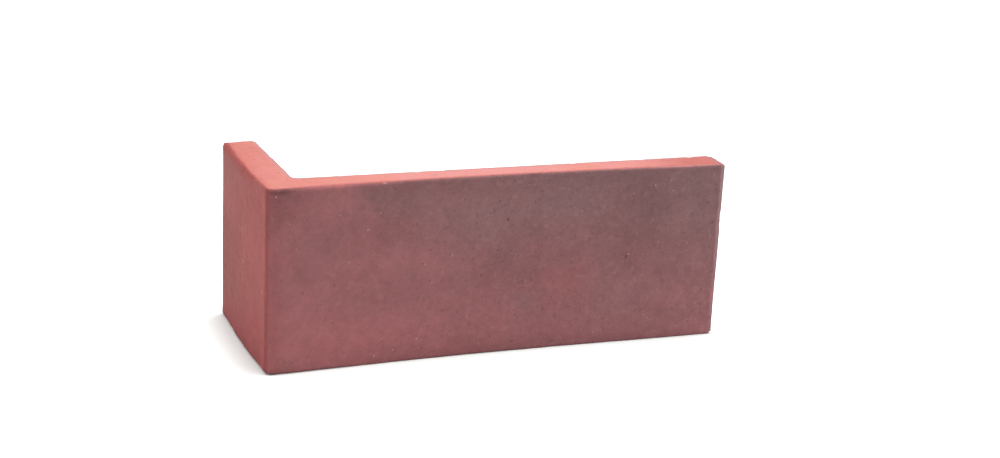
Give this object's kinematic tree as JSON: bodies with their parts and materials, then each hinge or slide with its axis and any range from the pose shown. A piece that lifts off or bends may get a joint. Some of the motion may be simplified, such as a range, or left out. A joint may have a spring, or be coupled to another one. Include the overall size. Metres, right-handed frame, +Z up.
{
  "type": "clinker corner facade tile",
  "caption": "L-shaped fired clinker slip that wraps an outside wall corner: a long hollow face, a short return and rounded outer edges.",
  "frame": {"origin": "on the floor under the lower bed face, at the centre of the bounding box", "axes": "+X along the long leg, away from the outer corner; +Y along the short leg, so the long show face looks to -Y and the short one to -X; +Z up, out of the upper bed face"},
  "size_m": [0.1854, 0.071, 0.071],
  "materials": {
    "fired_clay": "matt unglazed clinker, red to violet skin, salmon body on the wire-cut bed faces"
  },
  "bodies": {
    "root": {"corner_tile": "fired_clay"}
  },
  "joints": []
}
